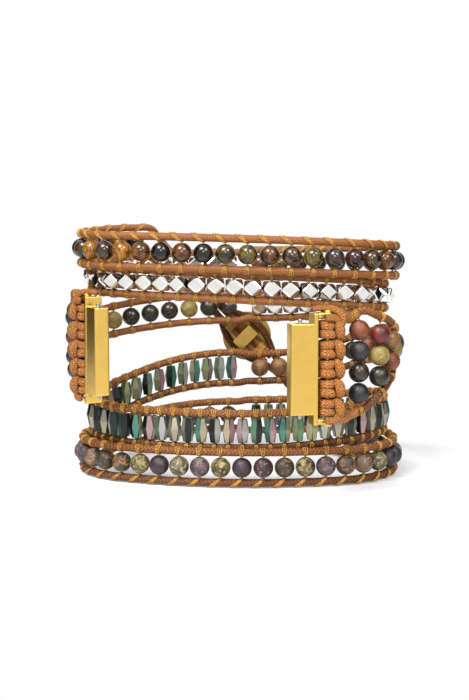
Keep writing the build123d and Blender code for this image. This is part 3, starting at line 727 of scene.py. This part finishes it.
@dataclass
class Cord:
    """One round cord of a strand, followed through its packed tube."""

    node: str
    start_mm: Spot
    ahead: Spot
    finish: BraidedCord
    step_mm: float = 0.5
    line: list = field(init=False)

    def __post_init__(self) -> None:
        """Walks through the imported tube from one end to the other."""
        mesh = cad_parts[self.node].data
        faces = [tuple(face.vertices) for face in mesh.polygons]
        walls = BVHTree.FromPolygons([vertex.co for vertex in mesh.vertices], faces)
        turns = [tau * k / 8 for k in range(8)]
        step = self.step_mm * MM
        heading = Vector(self.ahead).normalized()
        here = Vector(self.start_mm) * MM
        self.line = [here]
        here = here + heading * step * 0.2
        for _ in range(4000):
            across = heading.cross(UP).normalized()
            rise = across.cross(heading)
            hits = [walls.ray_cast(here, across * cos(turn) + rise * sin(turn), CORD_RADIUS * 3)[0]
                    for turn in turns]
            if None in hits:
                break
            here = sum(hits, Vector()) / 8
            if (here - self.line[-1]).length > step * 0.1:
                heading = (here - self.line[-1]).normalized() if len(self.line) > 2 else heading
                self.line.append(here.copy())
            stop = walls.ray_cast(here, heading, step * 1.05)[0]
            if stop is not None:
                self.line.append(stop)
                break
            here = here + heading * step

    def near(self, place: Vector) -> tuple[Vector, Vector]:
        """Finds the cord beside a bead.

        Args:
            place: A point close to the cord.

        Returns:
            The nearest point of the cord's middle and the way it runs there.
        """
        best = min(range(1, len(self.line) - 1), key=lambda i: (self.line[i] - place).length_squared)
        ahead = (self.line[best + 1] - self.line[best - 1]).normalized()
        here = self.line[best]
        return here + ahead * (place - here).dot(ahead), ahead

    def build(self) -> None:
        """Makes the braided cord."""
        made = MeshBuilder(self.node.replace("_cord", "_braid"))
        made.tube(self.line, CORD_RADIUS, CORD_RADIUS, 16, UP, sizes=eased(len(self.line), 3, 0.85))
        made.build([self.finish], "leather_cord", self.node)


# A strand's top and bottom cord, and how the lacing lies on each
Strand = tuple[Cord, Cord]
Lays = tuple[Lay, Lay]


@dataclass
class Lacing:
    """The waxed thread that goes through each column of beads and round both cords."""

    made: MeshBuilder
    node: str
    strand: Strand
    lays: Lays
    turns: int = 3
    spread_mm: float = 0.46

    def lace(self, low: Vector, high: Vector) -> None:
        """Laces one column, from the lowest point of its bores to the highest."""
        for cord, mouth, lay in zip(self.strand, (high, low), self.lays):
            self.bind(cord, mouth, lay)

    def bind(self, cord: Cord, mouth: Vector, lay: Lay) -> None:
        """Winds the thread round one cord, out of a bore and back into it.

        Args:
            cord: The cord.
            mouth: The bore's mouth.
            lay: How the turns lie.
        """
        here, ahead = cord.near(mouth)
        inward = squared(mouth - here, ahead).normalized()
        outward = squared(ahead.cross(UP).normalized(), inward).normalized()
        radius = CORD_RADIUS + THREAD_RADIUS * 0.8
        into = mouth + (mouth - here).normalized() * 0.35 * MM
        edge = mouth + (here - mouth) * 0.15
        steps = 14
        last = self.turns * steps
        line = [into, edge]
        for i in range(last + 1):
            turn = tau * i / steps
            face = 0.5 - 0.5 * cos(turn)
            band = (i / last - 0.5) * self.spread_mm * MM * self.turns
            direction = inward * cos(turn) + outward * sin(turn)
            shift = band * (0.4 + 0.6 * face) - lay.value * MM * face
            line.append(here + direction * radius + ahead * shift)
        self.made.tube(line + [edge, into], THREAD_RADIUS, THREAD_RADIUS, 6, outward)

    def cross(self, low: Vector, high: Vector) -> None:
        """Adds the plain run of thread between two beads of a column."""
        self.made.tube([low, high], THREAD_RADIUS * 1.2, THREAD_RADIUS * 1.2, 6, Vector((0, 1, 0)))

    def build(self) -> None:
        """Makes the thread."""
        self.made.build([LACING], "lacing_thread", self.node)


@dataclass
class Whippings:
    """Thread wound side by side round a pair of cords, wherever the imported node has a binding."""

    made: MeshBuilder
    node: str
    strand: Strand
    turns: int = 7

    def wind(self, centre: Vector) -> None:
        """Winds one binding.

        Args:
            centre: Its middle.
        """
        (first, ahead), (second, beside) = (cord.near(centre) for cord in self.strand)
        axis = (ahead + beside).normalized()
        across = squared(first - second, axis)
        half = across.length / 2
        across.normalize()
        out = axis.cross(across)
        radius = CORD_RADIUS + THREAD_RADIUS * 0.9
        steps = 24
        line = []
        for i in range(self.turns * steps + 1):
            turn = tau * i / steps
            shift = (i / steps - self.turns / 2) * THREAD_RADIUS * 1.9
            flat = max(-1.0, min(1.0, 3.0 * cos(turn)))
            line.append((first + second) / 2 + axis * shift + across * (flat * half + cos(turn) * radius)
                        + out * (sin(turn) * radius))
        self.made.tube(line, THREAD_RADIUS, THREAD_RADIUS, 8, across)

    def build(self) -> None:
        """Makes the bindings."""
        for centre in centres_of(self.node):
            self.wind(centre)
        self.made.build([LACING], "lacing_thread", self.node)


@dataclass
class BeadRow:
    """A run of single beads between a strand's cords, all of one finish, with its lacing."""

    name: str
    stem: str
    slot: str
    shape: Cut
    half_height_mm: float
    strand: Strand
    seed: int
    order: tuple[Finish, ...]
    lays: Lays = (Lay.STRAIGHT, Lay.STRAIGHT)
    twist: float = 0.0
    spin: float = 0.25
    thread: str = ""

    def __post_init__(self) -> None:
        """Starts the draws, and finds the beads and their kinds."""
        self.rng = random.Random(self.seed)
        self.centres = centres_of(f"{self.stem}_beads")
        self.kinds = list(dict.fromkeys(self.order))

    def columns(self) -> Columns:
        """Gives each column's beads, from the highest, and their finishes; here a column is one bead."""
        for centre in self.centres:
            yield [centre], self.order

    def tints(self) -> Sequence[float]:
        """A facet tint for each face, where the row has any."""
        return ()

    def build(self) -> None:
        """Makes the beads and their thread."""
        made = MeshBuilder(self.name)
        thread = MeshBuilder(self.thread or f"{self.name}_thread")
        lacing = Lacing(thread, f"{self.stem}_lacing", self.strand, self.lays)
        reach = UP * (self.half_height_mm * MM)
        for column, finishes in self.columns():
            _, ahead = self.strand[0].near(column[0] + reach)
            flat = Vector((ahead.x, ahead.y, 0.0)).normalized()
            upright = Matrix((flat.cross(UP), flat, UP)).transposed().to_4x4()
            for centre, finish in zip(column, finishes):
                turn = self.twist + (self.rng.uniform(-self.spin, self.spin) if self.spin else 0.0)
                place = Matrix.Translation(centre) @ upright @ Matrix.Rotation(turn, 4, "Z")
                made.solid(self.shape, place, self.kinds.index(finish), self.rng, self.tints())
            lacing.lace(column[-1] - reach, column[0] + reach)
            for upper, lower in zip(column, column[1:]):
                lacing.cross(lower + reach * 0.7, upper - reach * 0.7)
        made.build(self.kinds, self.slot, f"{self.stem}_beads")
        lacing.build()


class StoneRow(BeadRow):
    """A run of round stones, ordered across the front and mixed elsewhere."""

    def columns(self) -> Columns:
        """Follows the order across the front, and draws from it round the back.

        Returns:
            Each bead's middle and its stone.
        """
        draws = random.Random(self.seed + 7)
        front = sorted((c for c in self.centres if c.y < FRONT_DEPTH), key=lambda c: c.x)
        first = (len(front) - len(self.order)) // 2
        for centre in self.centres:
            if centre in front:
                place = min(max(front.index(centre) - first, 0), len(self.order) - 1)
                yield [centre], [self.order[place]]
            else:
                yield [centre], [draws.choice(self.order)]


class SpindleRow(BeadRow):
    """A run of lustered spindles, each facet with a tint of its own."""

    def tints(self) -> list[float]:
        """Gives neighbouring facets strongly different tints.

        Returns:
            Four tints for each of the six sides, and one for each end.
        """
        tints = []
        for _ in range(6):
            lower = self.rng.choice((0.0, 0.08, 0.25, 0.38, 0.48, 0.54, 0.62, 0.68, 0.86, 0.98))
            upper = min(1.0, max(0.0, lower + self.rng.choice((-0.03, 0.0, 0.03))))
            edge = self.rng.choice((0.0, 0.08, 0.16))
            tints += [upper, lower, edge, edge]
        return tints + [0.1, 0.1]


@dataclass
class Triangle(BeadRow):
    """The stones beside a connector: columns of four, three, two and one, and the singles after them."""

    axis: Vector = None

    def columns(self) -> Columns:
        """Ranks the columns by their distance from the screw bar, and deals out the order, then draws.

        Returns:
            Each column's middles, from the highest, and its stones.
        """
        columns: dict = {}
        for centre in self.centres:
            key = next((k for k in columns if (Vector(k) - centre.xy).length < MM), tuple(centre.xy))
            columns.setdefault(key, []).append(centre)
        dealt = 0
        for column in sorted(columns.values(), key=lambda column: (column[0].xy - self.axis.xy).length):
            column.sort(key=lambda centre: -centre.z)
            yield column, self.order[dealt:dealt + len(column)] or [self.rng.choice(self.kinds)]
            dealt += len(column)


@dataclass
class Knots:
    """Five knots of waxed braided cord on a connector's screw bar, and the cord's two ends.

    A mark is in millimetres from the bar's middle: towards the beads, towards the band's outside, and up.
    """

    side: str
    strap_degrees: float
    outward: int
    strand: Strand
    pitch_mm: float = 1.92
    wraps: int = 10
    middle_mm: float = 1.5
    half_wide_mm: float = 0.99
    half_deep_mm: float = 0.7
    bight_marks: tuple[Spot, ...] = (
        (1.2, 1.1, -1.7), (1.6, 1.75, -1.45), (1.75, 2.3, -0.7), (1.7, 2.4, 0.1), (1.5, 2.25, 0.8),
        (1.1, 1.7, 1.4), (0.7, 1.0, 1.6))
    bight_bulges: tuple[int, ...] = (0, 0, 1, 1, 1, 0, 0)
    crest_marks: tuple[Spot, ...] = (
        (1.2, 1.6, 7.9), (2.0, 1.75, 8.9), (2.2, 1.6, 10.1), (1.7, 1.15, 11.1), (0.5, 0.5, 11.75),
        (-1.0, -0.3, 11.85), (-2.1, -0.8, 11.75), (-2.8, -1.0, 11.5))
    brow_marks: tuple[Spot, ...] = (
        (-1.15, 1.95, 10.0), (-0.2, 2.15, 10.1), (0.8, 2.25, 9.95), (1.5, 2.2, 9.4), (1.8, 2.0, 8.6))
    top_marks: tuple[Spot, ...] = ((1.0, 0.9, 9.6), (2.2, 1.1, 10.5), (3.3, 0.55, 10.15))
    bottom_marks: tuple[Spot, ...] = ((0.8, 1.5, -8.9), (2.1, 1.5, -9.8), (3.3, 0.8, -9.95))

    def __post_init__(self) -> None:
        """Finds the screw bar's middle and the two ways across it."""
        low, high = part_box(f"{self.side}_screw_bar")
        self.centre = (low + high) / 2
        turn = radians(self.strap_degrees)
        self.along = Vector((cos(turn), sin(turn), 0.0))
        self.out = Vector((-sin(turn), cos(turn), 0.0)) * self.outward
        self.rng = random.Random(31 + self.outward)
        self.made = MeshBuilder(f"{self.side}_knots")

    def spot(self, along_mm: float, out_mm: float, height_mm: float) -> Vector:
        """The place of a mark."""
        return self.centre + (self.along * along_mm + self.out * out_mm + UP * height_mm) * MM

    def wrap(self, index: int) -> None:
        """Adds one turn of cord round the bar.

        Args:
            index: Which turn, from the lowest.
        """
        pull, lean = (-0.12, 0.14) if index % 2 else (0.12, -0.14)
        height = (index - (self.wraps - 1) / 2) * self.pitch_mm + pull
        tilt = lean + self.rng.uniform(-0.08, 0.08)
        phase = self.rng.uniform(0, 6.28)
        radius = self.middle_mm + self.rng.uniform(-0.05, 0.05)
        line = []
        for k in range(37):
            turn = tau * k / 36
            lie = height + tilt * cos(turn) + 0.07 * sin(2 * turn + phase)
            line.append(self.spot(radius * cos(turn), radius * sin(turn), lie))
        start_mm = self.rng.uniform(0, 3)
        self.made.tube(line, self.half_wide_mm * MM, self.half_deep_mm * MM, 16, self.along, start_mm)

    def bight(self, index: int, out: int) -> None:
        """Adds one fold of a knot, which bulges over its two turns towards the beads.

        Args:
            index: Which knot, from the lowest.
            out: One on the outside of the band, minus one inside.
        """
        middle = (2 * index - (self.wraps - 2) / 2) * self.pitch_mm + self.rng.uniform(-0.08, 0.08)
        bulge = self.rng.uniform(-0.08, 0.08)
        line = smooth_line([self.spot(along + bulge * share, out * away, middle + up)
                            for (along, away, up), share in zip(self.bight_marks, self.bight_bulges)], 6)
        last = len(line) - 1
        sizes = [0.15 + 0.85 * sin(pi * i / last) ** 0.65 for i in range(last + 1)]
        self.made.tube(line, 1.12 * MM, 0.66 * MM, 16, self.out * out, self.rng.uniform(0, 3), sizes)

    def crest(self) -> None:
        """Adds the highest fold, which arches over the connector's arm and ends behind its flange."""
        line = smooth_line([self.spot(*mark) for mark in self.crest_marks], 7)
        last = len(line) - 1
        sizes = [0.6 + 0.4 * min(1.0, i / 8) - 0.4 * max(0.0, min(1.0, (i - last * 0.35) / (last * 0.3)))
                 for i in range(last)] + [0.3]
        self.made.tube(line, 1.0 * MM, 0.8 * MM, 16, self.out, sizes=sizes)

    def brow(self, side: Side) -> None:
        """Adds the fold that lies in front of one arm of the connector."""
        line = smooth_line([self.spot(x, y, side.value * z) for x, y, z in self.brow_marks], 7)
        self.made.tube(line, 0.75 * MM, 0.4 * MM, 14, self.out, sizes=eased(len(line), 4, 0.6))

    def leader(self, side: Side) -> None:
        """Adds the cord's end that comes out of the knots and becomes the strand's cord.

        Args:
            side: Which of the strand's cords.
        """
        top = side is Side.TOP
        cord = self.strand[0 if top else 1].line
        ends = [cord[1], cord[6]]
        if (cord[-2] - self.centre).length < (cord[1] - self.centre).length:
            ends = [cord[-2], cord[-7]]
        marks = self.top_marks if top else self.bottom_marks
        line = smooth_line([self.spot(*mark) for mark in marks] + ends, 8)
        self.made.tube(line, 0.95 * MM, 0.86 * MM, 16, self.out, sizes=eased(len(line), 5, 0.6))

    def build(self) -> None:
        """Makes the knots."""
        for index in range(self.wraps):
            self.wrap(index)
        for index in range(self.wraps // 2):
            for out in (1, -1):
                self.bight(index, out)
        self.crest()
        for part in (self.brow, self.leader):
            for side in Side:
                part(side)
        self.made.build([KNOT_CORD], "knot_cord", f"{self.side}_knot_cord", f"{self.side}_knot_bights")


@dataclass
class Hardware:
    """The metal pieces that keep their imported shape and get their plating."""

    gold: tuple[str, ...] = ("connector_body", "screw_bar", "upper_bar_screw", "lower_bar_screw")
    steel: tuple[str, ...] = ("spring_bar_tube", "bar_spring", "upper_plunger", "lower_plunger")

    def dress(self) -> None:
        """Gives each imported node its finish."""
        finishes = {"button": AGED_BRASS}
        for side in ("right", "left"):
            finishes.update({f"{side}_{part}": PLATED_GOLD for part in self.gold})
            finishes.update({f"{side}_{part}": DRAWN_STEEL for part in self.steel})
        for node, finish in finishes.items():
            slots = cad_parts[node].data.materials
            slots.clear()
            slots.append(finish.material())
            LOG.info("%s: %s", node, finish.name)


@dataclass
class Studio:
    """A pale table, a white surround, soft lamps, black flags and the camera.

    A lamp has its name, its degrees round from the front and up, its distance and side in millimetres, and
    its watts. A flag has its name and its degrees round, and darkens the edges of what is polished.
    """

    target_mm: Spot = (-0.4, 2.16, 26.3)
    azimuth: float = 4.6
    elevation: float = 5.8
    distance_mm: float = 300.0
    lens: float = 70.6
    lamps: tuple = (("key_box", -30, 56, 620, 280, 4.3), ("fill_box", 42, 44, 680, 240, 2.2),
                    ("front_box", 6, 24, 760, 200, 1.4))
    flags: tuple = (("left_flag", -100), ("right_flag", 104))
    flag_distance_mm: float = 210.0
    flag_half_mm: float = 130.0
    flag_height_mm: float = 250.0
    table_half_mm: float = 4000.0

    def stand(self, data: ID, azimuth: float, elevation: float, distance_mm: float) -> Object:
        """Stands a lamp, a flag or the camera in the scene, turned to the target.

        Args:
            data: What it is.
            azimuth: Degrees round from the front.
            elevation: Degrees up.
            distance_mm: How far from the target.

        Returns:
            The object.
        """
        a, e = radians(azimuth), radians(elevation)
        way = Vector((sin(a) * cos(e), -cos(a) * cos(e), sin(e)))
        made = shown(bpy.data.objects.new(data.name, data))
        made.location = (Vector(self.target_mm) + way * distance_mm) * MM
        back = Vector(self.target_mm) * MM - made.location
        made.rotation_euler = back.to_track_quat("-Z", "Y").to_euler()
        return made

    def sheet(self, name: str, corners_mm: Sequence[Spot], finish: Finish) -> Mesh:
        """Makes a mesh of one rectangle.

        Args:
            name: Its name.
            corners_mm: Its corners.
            finish: Its finish.

        Returns:
            The mesh.
        """
        mesh = bpy.data.meshes.new(name)
        mesh.from_pydata([Vector(corner) * MM for corner in corners_mm], [], [(0, 1, 2, 3)])
        mesh.materials.append(finish.material())
        return mesh

    def surround(self) -> None:
        """Makes the world white where it is seen or mirrored, and dimmer as a lamp."""
        world = bpy.data.worlds.new("surround")
        bpy.context.scene.world = world
        world.use_nodes = True
        world.node_tree.nodes.clear()
        add = partial(add_node, world.node_tree)
        path = add("LightPath").outputs
        seen = add("Math", path["Is Camera Ray"], path["Is Glossy Ray"], operation="MAXIMUM")
        bright = add("Math", seen, path["Is Transmission Ray"], operation="MAXIMUM")
        dim = add("Background", "#f4f6ff", 0.3)
        add("OutputWorld", add("MixShader", bright, dim, add("Background", "#ffffff", 1.0)))

    def build(self) -> None:
        """Sets up the view, the light and the table."""
        camera = bpy.data.cameras.new("camera")
        camera.sensor_width = 36.0
        camera.lens = self.lens
        camera.clip_start = 0.01
        bpy.context.scene.camera = self.stand(camera, self.azimuth, self.elevation, self.distance_mm)
        self.surround()
        half = self.table_half_mm
        table = self.sheet("table", [(-half, -half, 0), (half, -half, 0), (half, half, 0), (-half, half, 0)],
                           AcrylicSheet())
        shown(bpy.data.objects.new("table", table))
        for name, azimuth, elevation, distance_mm, size_mm, power in self.lamps:
            lamp = bpy.data.lights.new(name, "AREA")
            lamp.size = size_mm * MM
            lamp.energy = power
            self.stand(lamp, azimuth, elevation, distance_mm)
        half, up = self.flag_half_mm, self.flag_height_mm
        for name, azimuth in self.flags:
            board = self.sheet(name, [(-half, 0, 0), (half, 0, 0), (half, 0, up), (-half, 0, up)], Felt())
            made = self.stand(board, azimuth, 0.0, self.flag_distance_mm)
            made.location.z = 1.0 * MM
            made.rotation_euler = (0.0, 0.0, radians(azimuth))
            made.visible_camera = False
        bpy.context.scene.view_settings.view_transform = "Standard"


def main() -> None:
    """Builds every sub-assembly in order."""
    logging.basicConfig(level=logging.INFO, format="%(name)s: %(message)s")
    Studio().build()
    upper = (Cord(*UPPER_TOP), Cord(*UPPER_BOTTOM))
    lower = (Cord(*LOWER_TOP), Cord(*LOWER_BOTTOM))
    for cord in upper + lower:
        cord.build()
    StoneRow("tiger_eye_stones", "tiger_eye", "tiger_eye", round_cut(), 2.05, upper, 11, ROW_ONE_ORDER,
             (Lay.SLANTED, Lay.STRAIGHT)).build()
    BeadRow("silver_nuggets", "silver_nugget", "silver_nugget", nugget_cut(), 1.5, upper, 12,
            (BRIGHT_SILVER,)).build()
    SpindleRow("lustre_spindles", "rainbow_spindle", "rainbow_stone", spindle_cut(), 2.45, lower, 13,
               (LusteredStone(),), twist=radians(30)).build()
    StoneRow("picture_jasper_stones", "picture_jasper", "picture_jasper", round_cut(), 2.05, lower, 14,
             ROW_FIVE_ORDER, (Lay.STRAIGHT, Lay.SLANTED)).build()
    knots = (Knots("right", 20.0, -1, lower), Knots("left", 122.0, 1, upper))
    for knot, order, seed in zip(knots, (RIGHT_ORDER, LEFT_ORDER), (15, 16)):
        stem = f"{knot.side}_jasper"
        Triangle(f"{stem}_stones", stem, "jasper", round_cut(), 2.05, knot.strand, seed, order, spin=0.0,
                 thread=f"{stem}_thread", axis=knot.centre).build()
    for knot in knots:
        knot.build()
    Whippings(MeshBuilder("button_binding"), "button_whippings", upper).build()
    Whippings(MeshBuilder("loop_binding"), "loop_whippings", lower).build()
    Hardware().dress()


if __name__ == "__main__":
    main()
